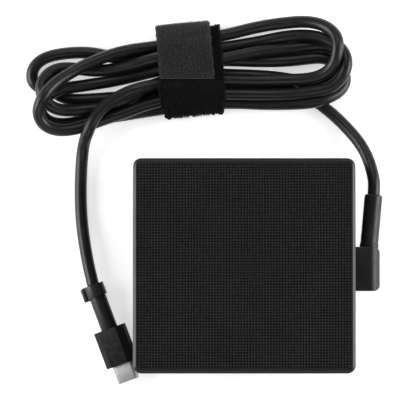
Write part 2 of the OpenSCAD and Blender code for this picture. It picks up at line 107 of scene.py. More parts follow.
def rounded_copy(node, width):
    """A copy of a CAD node with its sharp edges rounded, which stands for it."""
    mesh = NODES[node].data.copy()
    work = bmesh.new()
    work.from_mesh(mesh)
    bmesh.ops.remove_doubles(work, verts=work.verts, dist=SAME_POINT)
    bmesh.ops.dissolve_limit(work, angle_limit=FLAT_BELOW, verts=work.verts, edges=work.edges)
    work.to_mesh(mesh)
    work.free()
    obj = link(node + "_part", mesh)
    bevel = obj.modifiers.new("round", "BEVEL")
    bevel.width = width
    bevel.segments = ROUND_SEGMENTS
    bevel.limit_method = "ANGLE"
    bevel.angle_limit = ROUND_ABOVE
    bevel.use_clamp_overlap = True
    apply_modifiers(obj)
    obj.data.materials.clear()
    shade_smooth(obj)
    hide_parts(node)
    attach(obj, body_of_node(node))
    return obj


def apply_modifiers(obj):
    graph = bpy.context.evaluated_depsgraph_get()
    mesh = bpy.data.meshes.new_from_object(obj.evaluated_get(graph))
    obj.modifiers.clear()
    obj.data = mesh


def shade_smooth(obj):
    """Smooth shading, with sharp edges where faces meet at a wide angle."""
    mesh = obj.data
    work = bmesh.new()
    work.from_mesh(mesh)
    for face in work.faces:
        face.smooth = True
    for edge in work.edges:
        edge.smooth = len(edge.link_faces) == 2 and edge.calc_face_angle(0.0) < SHARP_ABOVE
    work.to_mesh(mesh)
    work.free()


def body_of_node(node):
    return next(body for body, members in RECORD["behaviour"]["bodies"].items() if node in members)


def smooth_line(points, step):
    """A centripetal Catmull-Rom line through the points, evenly spaced."""
    points = np.array(points, float)
    ends = np.vstack([2 * points[0] - points[1], points, 2 * points[-1] - points[-2]])
    out = []
    for i in range(1, len(ends) - 2):
        a, b, c, d = ends[i - 1:i + 3]
        times = [0.0]
        for p, q in ((a, b), (b, c), (c, d)):
            times.append(times[-1] + max(np.linalg.norm(q - p), TINY) ** 0.5)
        t0, t1, t2, t3 = times
        for t in np.linspace(t1, t2, LINE_STEPS, endpoint=False):
            ab = ((t1 - t) * a + (t - t0) * b) / (t1 - t0)
            bc = ((t2 - t) * b + (t - t1) * c) / (t2 - t1)
            cd = ((t3 - t) * c + (t - t2) * d) / (t3 - t2)
            abc = ((t2 - t) * ab + (t - t0) * bc) / (t2 - t0)
            bcd = ((t3 - t) * bc + (t - t1) * cd) / (t3 - t1)
            out.append(((t2 - t) * abc + (t - t1) * bcd) / (t2 - t1))
    out.append(points[-1])
    out = np.array(out)
    run = np.r_[0, np.cumsum(np.linalg.norm(np.diff(out, axis=0), axis=1))]
    even = np.linspace(0, run[-1], int(round(run[-1] / step)) + 1)
    return np.stack([np.interp(even, run, out[:, k]) for k in range(3)], 1)


# ---------------------------------------------------------------- cord
CORD_D = 4.5 * MM
CORD_STEP = 2.0 * MM
# Blender pads a curve's box by its points' radius, so that radius is kept at the cord's own
POINT_RADIUS = CORD_D / 2
# How much higher each turn starts than the one before, until the cord settles
TURN_RISE = 6.5 * MM
REST_Z = CORD_D / 2 + 0.03 * MM
TIGHTEST_BEND = 6.8 * MM
# Runs that press on each other part upwards more readily than sideways
PUSH_SHARE = np.array([0.7, 0.7, 1.6])
# How far points push each other while the cord settles, in diameters: pairs this near are looked at,
# found again after so many rounds, unless they are this near along the cord
PAIR_REACH = 1.7
PAIR_ROUNDS = 15
OWN_REACH = 3.3
PUSHES = 3
# Shares of each round's moves: a push among several, bending, levelling a run, opening a sharp bend
CROWDING = 0.6
STIFFNESS = 0.1
LEVELLING = 0.35
OPENING = 0.6
# From the strain relief at the brick to the hank, and from the hank to the plug, in metres
LEAD_ROUTE = [
    (0.0473, 0.0261, 0.012), (0.0475, 0.0305, 0.0116), (0.0466, 0.0355, 0.0102),
    (0.045, 0.0405, 0.0082), (0.0424, 0.0455, 0.006), (0.0384, 0.0504, 0.004),
    (0.0342, 0.0548, 0.0028), (0.03, 0.0585, 0.0023),
]
PLUG_ROUTE = [
    (-0.0568, 0.05, 0.0084), (-0.0582, 0.046, 0.0066), (-0.0591, 0.0415, 0.0046),
    (-0.0596, 0.0355, 0.0029), (-0.0598, 0.029, 0.0023), (-0.0597, 0.022, 0.0023),
    (-0.0592, 0.015, 0.0023), (-0.0581, 0.0075, 0.0026), (-0.0567, 0, 0.0035),
    (-0.0551, -0.0066, 0.0045),
]
# The hank's four turns, in millimetres, each as it is wound: the run below towards -X, the bend at
# the left, the run above towards +X, and the bend at the right. A bend is its centre, its two radii
# and the angles where it starts and ends.
TURNS = [
    dict(below=[(24, 62.2), (17, 64.6), (7, 65.8), (-7, 66.4), (-20, 66), (-28, 64.4), (-35, 62.8),
                (-43, 62.3), (-52, 61.7), (-60, 61.5), (-66, 61.9), (-70.2, 62.8)],
         left=(-70.6, 70.1, 7.5, 7.2, 237, 105),
         above=[(-67.6, 78.1), (-60.5, 78.9), (-54, 78.5), (-49, 77.3), (-43, 76.3), (-33, 76.2),
                (-20, 76.2), (-7, 76), (10, 76), (22, 76.6)],
         right=(29.4, 69.9, 8.3, 7.9, 95, -65)),
    dict(below=[(24, 60.6), (17, 59.8), (8, 59.8), (-7, 60.3), (-20, 59.6), (-33, 57.6), (-49.5, 54.9),
                (-57, 53.6), (-62.4, 53)],
         left=(-68.8, 58.8, 6.4, 6.3, 275, 95),
         above=[(-64, 65.3), (-58, 66.7), (-52, 67.8), (-45, 69), (-39, 70.3), (-33, 71.6),
                (-20, 73.8), (-7, 76.2), (5, 78.6), (18, 80.3)],
         right=(28.4, 74, 8.7, 7.1, 85, -75)),
    dict(below=[(20, 68.4), (12, 69.6), (3, 70.2), (-7, 70.3), (-20, 69.7), (-28, 68.2), (-34, 65.8),
                (-40, 62.6), (-47, 59.6), (-58, 57.9)],
         left=(-66.6, 65.1, 7.4, 7.8, 262, 95),
         above=[(-62, 72.8), (-57, 72.1), (-52, 71.9), (-47, 72.6), (-41, 74.2), (-34, 75.8),
                (-20, 78.6), (-7, 80.6), (8, 83.2), (20, 84.8)],
         right=(23.9, 73.9, 13.3, 10.6, 60, -75)),
    dict(below=[(17, 63.3), (5, 63.2), (-7, 63.4), (-20, 62.2), (-33, 59.8), (-45, 56.4), (-54, 53.2),
                (-62, 50.3)],
         left=(-69, 56.2, 6.2, 6.2, 280, 150),
         above=[(-72.9, 62.9), (-67.7, 67.7), (-60.4, 72.5), (-53, 76), (-45.6, 78.4), (-38.2, 80),
                (-30, 81.2), (-20, 83), (-7, 85.2), (6, 88.4)],
         right=(22.7, 79.3, 12.5, 10.6, 90, -80)),
]
# The last run leaves the top of the hank towards the plug
LAST_RUN = [
    (17, 68.6), (5, 68.3), (-7, 68.4), (-20, 68.2), (-33, 66.2), (-38, 65), (-44, 62.7),
    (-49.2, 59.8), (-53.4, 55.8), (-55.7, 52.3),
]
BEND_POINTS = 7
# Points at each end of the cord that its strain reliefs hold
PINNED = 8
# The hank lies beyond this Y, and the leads on this side of it
HANK_FROM = 0.05

STRAP_AT = Vector((-20.8, 71.7, 0)) * MM
STRAP_TURN = math.radians(5.5)
STRAP_W = 20.5 * MM
STRAP_T = 1.2 * MM
# The cord climbs onto the strap's lower layer over this length, and stays this far above it
STRAP_RAMP = 8 * MM
STRAP_CLEAR = 0.15 * MM


def strap_frame(points):
    """Distances along and across the strap's own axis, for points in the plan."""
    x = points[..., 0] - STRAP_AT.x
    y = points[..., 1] - STRAP_AT.y
    c, s = math.cos(STRAP_TURN), math.sin(STRAP_TURN)
    return x * c + y * s, y * c - x * s


def hank_route():
    """The whole cord's way-points: every turn of the hank is wound on top of the one before."""
    points = list(LEAD_ROUTE)
    plan = []
    for turn in TURNS:
        plan += turn["below"]
        plan += bend_points(turn["left"])
        plan += turn["above"]
        plan += bend_points(turn["right"])
    plan += LAST_RUN
    rise = TURN_RISE * (len(TURNS) + 0.5) / len(plan)
    points += [(x * MM, y * MM, REST_Z + rise * i) for i, (x, y) in enumerate(plan)]
    drop = points[-1][2] - PLUG_ROUTE[0][2]
    last = len(PLUG_ROUTE) - 1
    points += [(x, y, z + drop * (1 - i / last) ** 2) for i, (x, y, z) in enumerate(PLUG_ROUTE)]
    return points


def bend_points(bend):
    cx, cy, rx, ry, start, end = bend
    angles = [math.radians(start + (end - start) * i / (BEND_POINTS - 1)) for i in range(BEND_POINTS)]
    return [(cx + rx * math.cos(a), cy + ry * math.sin(a)) for a in angles]


def floor_height(p):
    """The lowest that the cord's centreline may lie: on the table, or on the strap's lower layer."""
    along, _ = strap_frame(p)
    reach = 1 - np.clip((np.abs(along) - STRAP_W / 2) / STRAP_RAMP, 0, 1)
    lift = (STRAP_T + STRAP_CLEAR) * reach * reach * (3 - 2 * reach)
    return REST_Z + np.where(p[:, 1] > HANK_FROM, lift, 0)


def settle(line, rounds, fall, hold):
    """Lets the wound cord down. It falls, rests on the table and on the turns under it, keeps a
    diameter between its runs, stays near its plan, and bends as stiffly as a cord does."""
    p = line.copy()
    plan = line[:, :2].copy()
    count = len(p)
    apart = int(OWN_REACH * CORD_D / CORD_STEP)
    free = np.ones(count)
    free[:PINNED] = 0
    free[-PINNED:] = 0
    for k in range(rounds):
        if k % PAIR_ROUNDS == 0:
            gap = p[:, None] - p[None]
            near = (gap ** 2).sum(-1) < (PAIR_REACH * CORD_D) ** 2
            one, two = np.nonzero(np.triu(near, apart))
        p[:, 2] -= fall * free
        for _ in range(PUSHES):
            gap = p[one] - p[two]
            dist = np.maximum(np.linalg.norm(gap, axis=1), TINY)
            push = gap * (np.clip(CORD_D - dist, 0, None) / dist / 2)[:, None] * PUSH_SHARE
            hits = np.bincount(one, dist < CORD_D, count) + np.bincount(two, dist < CORD_D, count)
            share = free / np.maximum(hits * CROWDING, 1)
            for axis in range(3):
                moved = np.bincount(one, push[:, axis], count) - np.bincount(two, push[:, axis], count)
                p[:, axis] += moved * share
            p[:, 2] = np.maximum(p[:, 2], floor_height(p))
        p[:, :2] += (plan - p[:, :2]) * hold * free[:, None]
        bend = p[:-4] - 4 * p[1:-3] + 6 * p[2:-2] - 4 * p[3:-1] + p[4:]
        p[2:-2] -= bend * STIFFNESS * free[2:-2, None]
        level = (p[:-2] + p[2:]) / 2 - p[1:-1]
        p[1:-1, 2] += level[:, 2] * LEVELLING * free[1:-1]
        sharp = 1 - CORD_STEP ** 2 / (2 * TIGHTEST_BEND) / np.maximum(np.linalg.norm(level, axis=1), TINY)
        p[1:-1] += level * (np.clip(sharp, 0, 1) * OPENING * free[1:-1])[:, None]
        p[:, 2] = np.maximum(p[:, 2], floor_height(p))
    return p


def cord_line():
    line = smooth_line(hank_route(), CORD_STEP)
    line = settle(line, rounds=420, fall=0.06 * MM, hold=0.22)
    # Last rounds with little fall and a loose hold, so that nothing is left pressed into its neighbour
    return settle(line, rounds=150, fall=0.01 * MM, hold=0.03)


def make_cord(line):
    data = bpy.data.curves.new("output_lead", "CURVE")
    data.dimensions = "3D"
    data.bevel_depth = CORD_D / 2 / POINT_RADIUS
    data.bevel_resolution = 5
    data.use_fill_caps = True
    data.resolution_u = 2
    spline = data.splines.new("NURBS")
    spline.points.add(len(line) - 1)
    spline.points.foreach_set("co", np.c_[line, np.ones(len(line))].ravel())
    spline.points.foreach_set("radius", [POINT_RADIUS] * len(line))
    spline.order_u = 4
    spline.use_endpoint_u = True
    return link("output_lead", data)


# ---------------------------------------------------------------- strap
# Between the strap and the cord, and between its two layers
STRAP_GAP = 0.12 * MM
# Past the first value's angle, the flap stops where it has come this far across the hank
FLAP_FROM = 420
FLAP_END = -4.5 * MM
# The flap's end is cut askew: how far it falls short at its left side, and how far up that starts
SKEW = 2.0 * MM
SKEW_REACH = 9 * MM
# How far the inner layer lies along the hank from the flap: at its start, at the flap's end, in front
INNER_SHIFT = (2.4 * MM, 1.2 * MM, 1.4 * MM)
# The tape's width at those three places and at the flap, next to its nominal width
WIDTHS = (1.06, 1.2, 0.95, 0.97)
# The angles round the hank of the places above, and where the path starts and ends
PLACES = (60, 100, 175, 290)
PATH_ANGLES = np.arange(-10, 481, 2.0)
# From this angle the outer layer climbs onto the inner one, over so many degrees
CLIMB_FROM = 280
CLIMB_OVER = 60
# How far the strap stands off the hank at the back, at which angle most, and the inner layer's share
STRAP_SLACK = 1.3 * MM
SLACK_AT = 20
INNER_SLACK = 0.35
# Rounds of smoothing over the path, once it is evenly spaced
SMOOTHINGS = 8
# The strap's least height above the table
FLOOR_GAP = 0.1 * MM
PATH_STEP = 0.6 * MM
STRAP_COLUMNS = 26
HOOK_PITCH = 0.72 * MM
# Angles round the hank where the hooks start, and where the loops stop, clear of the table
HOOKS_FROM = 350
LOOPS_TO = 205
# How far the tape's sides sway, and how fast from row to row
SWAY = ((0.12 * MM, 0.9), (0.1 * MM, 2.3))
# The tape's dents: their height, its share on the inner face, how fast they follow each other and slant
DIP = 0.08 * MM
INNER_DIP = 0.3
DIP_RATE = 0.55
DIP_SLANT = 2.2
# The tape's thinning along its sides, from this share of its half width
EDGE_THINNING = 0.35
EDGE_FROM = 0.94
# The hooks: their scatter, the height of their tops and the stem's share of it, their lean, the radius
# and angles of their crook, and their own radius
HOOK_SCATTER = 0.26 * MM
HOOK_TALL = (0.28, 0.5)
STEM = 0.6
HOOK_LEAN = 0.1
CROOK_R = 0.14 * MM
CROOK_ANGLES = (40, 90, 150)
HOOK_R = (0.07, 0.13)
# The loops: how many, their own radius, their width and height, and the band of ragged ones at the sides
FUZZ_COUNT = 3200
FUZZ_R = 0.085 * MM
FUZZ_WIDE = (0.25, 0.6)
FUZZ_TALL = 0.8 * MM
SIDE_BAND = 0.8 * MM
# How deep the loops are rooted in the tape, the shortest next to the tallest, and their bends
FUZZ_ROOT = 0.05 * MM
FUZZ_SHORTEST = 0.4
LOOP_ANGLES = range(0, 181, 36)


def strap_path(line):
    """The strap's middle line round the hank, as rows of (across, height, shift along the hank, share
    of the nominal width, angle of the outward normal). It starts under its own flap, runs over the
    top, the front and the underside, and comes back over the top as the flap."""
    along, across = strap_frame(line)
    held = (np.abs(along) < STRAP_W / 2 * max(WIDTHS) + INNER_SHIFT[0]) & (line[:, 1] > HANK_FROM)
    inside = np.stack([across[held], line[held, 2]], 1)
    first = CORD_D / 2 + STRAP_GAP + STRAP_T / 2
    rows = []
    for degrees in PATH_ANGLES:
        a = math.radians(degrees)
        normal = np.array([math.cos(a), math.sin(a)])
        rise = min(max((degrees - CLIMB_FROM) / CLIMB_OVER, 0), 1)
        out = first + (STRAP_T + STRAP_GAP) * rise * rise * (3 - 2 * rise)
        slack = STRAP_SLACK if degrees > 180 else STRAP_SLACK * INNER_SLACK
        out += slack * max(math.cos(math.radians(degrees - SLACK_AT)), 0) ** 2
        rows.append((*(inside[np.argmax(inside @ normal)] + normal * out), degrees))
    rows = np.array(rows)
    run = np.r_[0, np.cumsum(np.hypot(*np.diff(rows[:, :2], axis=0).T))]
    even = np.linspace(0, run[-1], int(run[-1] / PATH_STEP))
    rows = np.stack([np.interp(even, run, rows[:, k]) for k in range(3)], 1)
    rows = rows[(rows[:, 2] < FLAP_FROM) | (rows[:, 0] > FLAP_END)]
    for _ in range(SMOOTHINGS):
        rows[1:-1, :2] = (rows[:-2, :2] + 2 * rows[1:-1, :2] + rows[2:, :2]) / 4
    rows[:, 1] = np.maximum(rows[:, 1], STRAP_T / 2 + FLOOR_GAP)
    shift = np.interp(rows[:, 2], PLACES, [*INNER_SHIFT, 0])
    return np.c_[rows[:, :2], shift, np.interp(rows[:, 2], PLACES, WIDTHS), rows[:, 2]]


def strap_point(path, row, along, out):
    """The point on the strap at a row of its path, a place across its width and a height over its
    middle. Also the outward normal there, and the tape's own direction round the hank."""
    i = int(min(max(row, 0), len(path) - 1.001))
    across, height, shift, wide, _ = path[i] + (path[i + 1] - path[i]) * (row - i)
    back, ahead = path[max(i - 1, 0)], path[min(i + 2, len(path) - 1)]
    step = ahead[:2] - back[:2]
    step /= max(np.linalg.norm(step), TINY)
    normal = np.array([step[1], -step[0]])
    across += normal[0] * out
    height += normal[1] * out
    along = along * wide + shift
    c, s = math.cos(STRAP_TURN), math.sin(STRAP_TURN)
    place = Vector((STRAP_AT.x + along * c - across * s, STRAP_AT.y + along * s + across * c, height))
    up = Vector((-normal[0] * s, normal[0] * c, normal[1]))
    ahead = Vector((-step[0] * s, step[0] * c, step[1]))
    return place, up, ahead


def skewed_row(path, row, along):
    """The row of the path for a place on the tape, drawn back towards the left near the flap's end."""
    near_end = min(max(1 - (len(path) - 1 - row) * PATH_STEP / SKEW_REACH, 0), 1)
    return row - SKEW / PATH_STEP * (0.5 - along / STRAP_W) * near_end


def make_strap(path):
    """The tape itself, one closed strip with slightly uneven sides."""
    rng = random.Random(11)
    rows = len(path)
    starts = [rng.uniform(0, 6) for _ in SWAY]
    verts = []
    for row in range(rows):
        uneven = sum(far * math.sin(row * rate + start) for (far, rate), start in zip(SWAY, starts))
        ring = []
        for side in (1, -1):
            columns = range(STRAP_COLUMNS + 1)
            for column in (columns if side > 0 else reversed(columns)):
                t = column / STRAP_COLUMNS * 2 - 1
                edge = 1 - EDGE_THINNING * max(0, abs(t) - EDGE_FROM) / (1 - EDGE_FROM)
                along = t * (STRAP_W / 2 + uneven)
                dip = DIP * math.sin(row * DIP_RATE + t * DIP_SLANT) * (1 if side > 0 else INNER_DIP)
                place = skewed_row(path, row, along)
                ring.append(strap_point(path, place, along, side * STRAP_T / 2 * edge + dip)[0])
        verts += ring
    size = 2 * (STRAP_COLUMNS + 1)
    faces = []
    for row in range(rows - 1):
        for k in range(size):
            a = row * size + k
            b = row * size + (k + 1) % size
            faces.append((a, b, b + size, a + size))
    felt = sum(1 for row in path[:-1] if row[4] < HOOKS_FROM) * size
    faces.append(tuple(range(size)))
    faces.append(tuple(reversed(range((rows - 1) * size, rows * size))))
    strap = mesh_object("strap_tape", verts, faces)
    paint(strap, "strap_hook", "strap_felt")
    for face in strap.data.polygons:
        face.material_index = int(face.index < felt)
    fix_normals(strap)
    return strap


def fix_normals(obj):
    work = bmesh.new()
    work.from_mesh(obj.data)
    bmesh.ops.recalc_face_normals(work, faces=work.faces)
    work.to_mesh(obj.data)
    work.free()


def add_thread(verts, faces, points, radius, sides=4, taper=0.6):
    """Adds a thin closed tube through the points to lists of vertices and faces."""
    start = len(verts)
    count = len(points)
    side = None
    for i, point in enumerate(points):
        ahead = (points[min(i + 1, count - 1)] - points[max(i - 1, 0)]).normalized()
        if side is None:
            side = ahead.orthogonal().normalized()
        side = (side - ahead * side.dot(ahead)).normalized()
        other = ahead.cross(side)
        r = radius * (1 - (1 - taper) * i / (count - 1))
        for k in range(sides):
            a = 2 * math.pi * k / sides
            verts.append(point + side * (math.cos(a) * r) + other * (math.sin(a) * r))
    for i in range(count - 1):
        for k in range(sides):
            a = start + i * sides + k
            b = start + i * sides + (k + 1) % sides
            faces.append((a, b, b + sides, a + sides))
    faces.append(tuple(reversed(range(start, start + sides))))
    faces.append(tuple(range(start + (count - 1) * sides, start + count * sides)))


def make_strap_hooks(path):
    """Rows of small plastic hooks on the flap's outer face, from where it comes up at the far side."""
    verts, faces = [], []
    rng = random.Random(5)
    first = next(i for i, row in enumerate(path) if row[4] > HOOKS_FROM)
    pitch_rows = HOOK_PITCH / PATH_STEP
    count = int((len(path) - 2 - first) / pitch_rows)
    across = int(STRAP_W / HOOK_PITCH) - 1
    for j in range(count):
        row = len(path) - 2 - j * pitch_rows
        for k in range(across):
            along = (k - (across - 1) / 2 + 0.5 * (j % 2) - 0.25) * HOOK_PITCH
            along += rng.uniform(-HOOK_SCATTER, HOOK_SCATTER)
            place = skewed_row(path, row + rng.uniform(-0.4, 0.4), along)
            base, up, ahead = strap_point(path, place, along, STRAP_T / 2)
            lean = ahead * rng.uniform(-HOOK_LEAN, HOOK_LEAN)
            way = 1 if k % 2 else -1
            tall = rng.uniform(*HOOK_TALL) * MM
            points = [base - up * 0.1 * MM, base + up * tall * STEM + lean * 0.1 * MM]
            for a in CROOK_ANGLES:
                bend = math.radians(a)
                points.append(base + up * (tall * STEM + CROOK_R * math.sin(bend))
                              + ahead * (way * CROOK_R * (1 - math.cos(bend))) + lean * 0.15 * MM)
            add_thread(verts, faces, points, rng.uniform(*HOOK_R) * MM)
    return mesh_object("strap_hooks", verts, faces)


def make_strap_fuzz(path):
    """The loop pile on the inner layer's outer face, with ragged fibres along its sides."""
    verts, faces = [], []
    rng = random.Random(23)
    last = next(i for i, row in enumerate(path) if row[4] > LOOPS_TO)
    for k in range(FUZZ_COUNT):
        row = rng.uniform(0.5, last)
        at_side = k % 3 == 0
        along = rng.uniform(-1, 1) * STRAP_W / 2
        if at_side:
            along = rng.choice((-1, 1)) * (STRAP_W / 2 - rng.random() ** 2 * SIDE_BAND)
        base, up, ahead = strap_point(path, row, along, STRAP_T / 2 - FUZZ_ROOT)
        out = Vector((math.cos(STRAP_TURN), math.sin(STRAP_TURN), 0))
        way = ahead * rng.uniform(-1, 1) + out * rng.uniform(-1, 1)
        if at_side:
            way = out * (math.copysign(rng.uniform(0.2, 1.1), along)) + ahead * rng.uniform(-0.8, 0.8)
        way.normalize()
        wide = rng.uniform(*FUZZ_WIDE) * MM
        tall = rng.uniform(FUZZ_SHORTEST, 1.0) * FUZZ_TALL
        points = []
        for a in LOOP_ANGLES:
            bend = math.radians(a)
            points.append(base + way * (wide * (1 - math.cos(bend)) / 2) + up * (tall * math.sin(bend)))
        add_thread(verts, faces, points, FUZZ_R, sides=3, taper=0.8)
    return mesh_object("strap_loops", verts, faces)


# ---------------------------------------------------------------- strain relief
# The foot of the relief's axis at the gland, the angle at which it leans, and its collar's radius
RELIEF_FOOT = Vector((45.55, 7, 12)) * MM
RELIEF_TILT = math.radians(5.2)
COLLAR_R = 3.45 * MM


def trim_collar(obj):
    """Draws the collar at the relief's foot in towards the axis, as the photo shows it."""
    axis = Vector((math.sin(RELIEF_TILT), math.cos(RELIEF_TILT), 0))
    for vert in obj.data.vertices:
        offset = vert.co - RELIEF_FOOT
        spoke = offset - axis * offset.dot(axis)
        if spoke.length > COLLAR_R:
            vert.co -= spoke * (1 - COLLAR_R / spoke.length)


# ---------------------------------------------------------------- front cover
CORNER_R = 3.0 * MM
CORNER_STEPS = 8
COVER_WALL = 2.0 * MM
# The face's pits: spacing both ways, radius, depth, sides, and the least distance from a pit's cell to
# the bevel
DIMPLE_PITCH_X = 1.0565 * MM
DIMPLE_PITCH_Y = 1.0227 * MM
DIMPLE_R = 0.31 * MM
DIMPLE_DEPTH = 0.2 * MM
DIMPLE_SIDES = 8
DIMPLE_MARGIN = 0.25 * MM
LEAST_CORNER_R = 0.8 * MM
# Points closer than this in height are level
LEVEL = 1e-7
# The lip at the split: (how far in, how far up), in millimetres
LIP_PROFILE = [(0.3, 0.0), (0.08, 0.12), (0.0, 0.35)]
# The bevel round the front face: (how far in, how far down), in millimetres
BEVEL_PROFILE = [
    (0.0, 1.4), (0.03, 1.05), (0.1, 0.8), (0.25, 0.62), (0.5, 0.43), (0.75, 0.25), (0.93, 0.1),
    (1.05, 0.02), (1.15, 0.0),
]


def rounded_loop(half_w, half_l, radius, height):
    """Points of a rectangle with round corners, in order."""
    points = []
    for corner, (sx, sy) in enumerate(((1, 1), (-1, 1), (-1, -1), (1, -1))):
        for k in range(CORNER_STEPS + 1):
            a = math.radians(90 * corner + 90 * k / CORNER_STEPS)
            points.append((sx * (half_w - radius) + radius * math.cos(a),
                           sy * (half_l - radius) + radius * math.sin(a), height))
    return points


def make_front_cover():
    """The front shell: a bevelled cap whose face is covered in a square grid of small pits."""
    half_w = (COVER_HI.x - COVER_LO.x) / 2
    half_l = (COVER_HI.y - COVER_LO.y) / 2
    mid_y = (COVER_HI.y + COVER_LO.y) / 2
    top = BRICK_TOP
    outer = [(inset, SPLIT + up * MM) for inset, up in LIP_PROFILE]
    outer += [(inset, top - down * MM) for inset, down in BEVEL_PROFILE]
    inner = [(COVER_WALL / MM, top - COVER_WALL), (COVER_WALL / MM, SPLIT)]
    work = bmesh.new()

    def ring(inset, height):
        inset *= MM
        radius = max(CORNER_R - inset, LEAST_CORNER_R)
        points = rounded_loop(half_w - inset, half_l - inset, radius, height)
        return [work.verts.new((x, y + mid_y, z)) for x, y, z in points]

    def bridge(one, two):
        count = len(one)
        return [work.faces.new((one[k], one[(k + 1) % count], two[(k + 1) % count], two[k]))
                for k in range(count)]

    rings = [ring(*spot) for spot in outer]
    bevel_faces = []
    for one, two in zip(rings, rings[1:]):
        bevel_faces += bridge(one, two)
    inside = [ring(*spot) for spot in inner]
    bridge(inside[0], inside[1])
    bridge(inside[1], rings[0])
    work.faces.new(list(reversed(inside[0])))
    rim_in = BEVEL_PROFILE[-1][0] * MM
    pit_faces = fill_face(work, half_w - rim_in, half_l - rim_in, mid_y, top)
    for face in work.faces:
        face.smooth = True
    bmesh.ops.recalc_face_normals(work, faces=work.faces)
    mesh = bpy.data.meshes.new("front_shell")
    # The pits' faces take the second material, which paints the shade inside the pits
    for face in pit_faces:
        face.material_index = 1
    for face in bevel_faces:
        face.material_index = 2
    work.to_mesh(mesh)
    work.free()
    return link("front_shell", mesh)


def fill_face(work, half_w, half_l, mid_y, top):
    """Fills the flat face inside the bevel with cells that each hold one pit. Returns the pits' faces."""
    columns = int((half_w - DIMPLE_MARGIN) * 2 / DIMPLE_PITCH_X)
    rows = int((half_l - DIMPLE_MARGIN) * 2 / DIMPLE_PITCH_Y)
    corner = CORNER_R - BEVEL_PROFILE[-1][0] * MM
    x0 = -columns * DIMPLE_PITCH_X / 2
    y0 = mid_y - rows * DIMPLE_PITCH_Y / 2
    corners = {}
    pits = []

    def grid_vert(i, j):
        if (i, j) not in corners:
            corners[i, j] = work.verts.new((x0 + i * DIMPLE_PITCH_X, y0 + j * DIMPLE_PITCH_Y, top))
        return corners[i, j]

    def near_corner(i, j):
        over_x = abs(x0 + (i + 0.5) * DIMPLE_PITCH_X) + DIMPLE_PITCH_X / 2 - (half_w - corner)
        over_y = abs(y0 + (j + 0.5) * DIMPLE_PITCH_Y - mid_y) + DIMPLE_PITCH_Y / 2 - (half_l - corner)
        return over_x > 0 and over_y > 0 and math.hypot(over_x, over_y) > corner - DIMPLE_MARGIN

    used = {(i, j) for i in range(columns) for j in range(rows) if not near_corner(i, j)}
    for i, j in sorted(used):
        square = [grid_vert(i, j), grid_vert(i + 1, j), grid_vert(i + 1, j + 1), grid_vert(i, j + 1)]
        cx = x0 + (i + 0.5) * DIMPLE_PITCH_X
        cy = y0 + (j + 0.5) * DIMPLE_PITCH_Y
        rim_verts = []
        for k in range(DIMPLE_SIDES):
            a = math.radians(-180 + 360 / DIMPLE_SIDES * (k + 0.5))
            spot = (cx + DIMPLE_R * math.cos(a), cy + DIMPLE_R * math.sin(a), top)
            rim_verts.append(work.verts.new(spot))
        centre = work.verts.new((cx, cy, top - DIMPLE_DEPTH))
        for k in range(4):
            one, two = rim_verts[2 * k], rim_verts[2 * k + 1]
            after = rim_verts[(2 * k + 2) % DIMPLE_SIDES]
            work.faces.new((square[k], two, one))
            work.faces.new((square[k], square[(k + 1) % 4], after, two))
        for k in range(DIMPLE_SIDES):
            pits.append(work.faces.new((rim_verts[k], rim_verts[(k + 1) % DIMPLE_SIDES], centre)))
    work.edges.index_update()
    border = [edge for edge in work.edges
              if len(edge.link_faces) == 1 and all(abs(v.co.z - top) < LEVEL for v in edge.verts)]
    bmesh.ops.triangle_fill(work, use_beauty=True, edges=border)
    return pits


# ---------------------------------------------------------------- materials
def grey(value):
    return (value, value, value)


